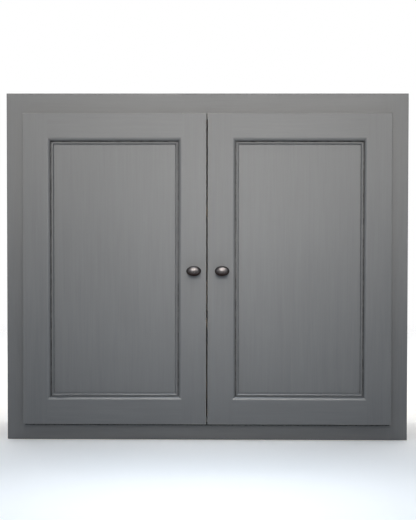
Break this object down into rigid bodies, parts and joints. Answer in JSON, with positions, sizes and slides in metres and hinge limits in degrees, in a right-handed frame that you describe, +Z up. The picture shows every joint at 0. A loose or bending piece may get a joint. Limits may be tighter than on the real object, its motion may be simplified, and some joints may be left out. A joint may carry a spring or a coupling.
{
  "type": "two-door wall cabinet",
  "caption": "Face-frame wall cabinet with frame-and-panel doors on concealed cup hinges, oval knobs and adjustable shelves.",
  "frame": {"origin": "middle of the footprint of the whole cabinet with its knobs, on its underside", "axes": "+X to the cabinet's right seen from the front, +Y to its back, +Z up; the doors face -Y"},
  "size_m": [0.914, 0.351, 0.79],
  "materials": {
    "painted_wood": "brushed satin grey paint",
    "bare_wood": "clear lacquered birch",
    "hinge_steel": "nickel plated",
    "knob_bronze": "dark oiled bronze",
    "bumper_rubber": "clear soft plastic"
  },
  "bodies": {
    "cabinet": {"back_panel": "bare_wood", "bottom_panel": "bare_wood", "frame_bottom_rail": "painted_wood", "frame_left_stile": "painted_wood", "frame_right_stile": "painted_wood", "frame_top_rail": "painted_wood", "left_arm_screws": "hinge_steel", "left_base_screws": "hinge_steel", "left_hinge_arms": "hinge_steel", "left_hinge_bases": "hinge_steel", "left_side_panel": "painted_wood", "lower_hanging_rail": "bare_wood", "lower_shelf": "bare_wood", "lower_shelf_pins": "hinge_steel", "right_arm_screws": "hinge_steel", "right_base_screws": "hinge_steel", "right_hinge_arms": "hinge_steel", "right_hinge_bases": "hinge_steel", "right_side_panel": "painted_wood", "top_panel": "bare_wood", "upper_hanging_rail": "bare_wood", "upper_shelf": "bare_wood", "upper_shelf_pins": "hinge_steel"},
    "left_door": {"left_cup_screws": "hinge_steel", "left_door_bottom_moulding": "painted_wood", "left_door_bottom_rail": "painted_wood", "left_door_bumpers": "bumper_rubber", "left_door_hinge_side_moulding": "painted_wood", "left_door_hinge_stile": "painted_wood", "left_door_knob": "knob_bronze", "left_door_knob_screw": "hinge_steel", "left_door_meeting_side_moulding": "painted_wood", "left_door_meeting_stile": "painted_wood", "left_door_panel": "painted_wood", "left_door_top_moulding": "painted_wood", "left_door_top_rail": "painted_wood", "left_hinge_cups": "hinge_steel", "left_hinge_pins": "hinge_steel"},
    "right_door": {"right_cup_screws": "hinge_steel", "right_door_bottom_moulding": "painted_wood", "right_door_bottom_rail": "painted_wood", "right_door_bumpers": "bumper_rubber", "right_door_hinge_side_moulding": "painted_wood", "right_door_hinge_stile": "painted_wood", "right_door_knob": "knob_bronze", "right_door_knob_screw": "hinge_steel", "right_door_meeting_side_moulding": "painted_wood", "right_door_meeting_stile": "painted_wood", "right_door_panel": "painted_wood", "right_door_top_moulding": "painted_wood", "right_door_top_rail": "painted_wood", "right_hinge_cups": "hinge_steel", "right_hinge_pins": "hinge_steel"}
  },
  "joints": [
    {"name": "left_door_hinge", "type": "hinge", "parent": "cabinet", "child": "left_door", "pos_m": [-0.41045, -0.1407, 0.391], "axis": [0, 0, -1], "range_deg": [0, 95]},
    {"name": "right_door_hinge", "type": "hinge", "parent": "cabinet", "child": "right_door", "pos_m": [0.41045, -0.1407, 0.391], "axis": [0, 0, 1], "range_deg": [0, 95]}
  ]
}
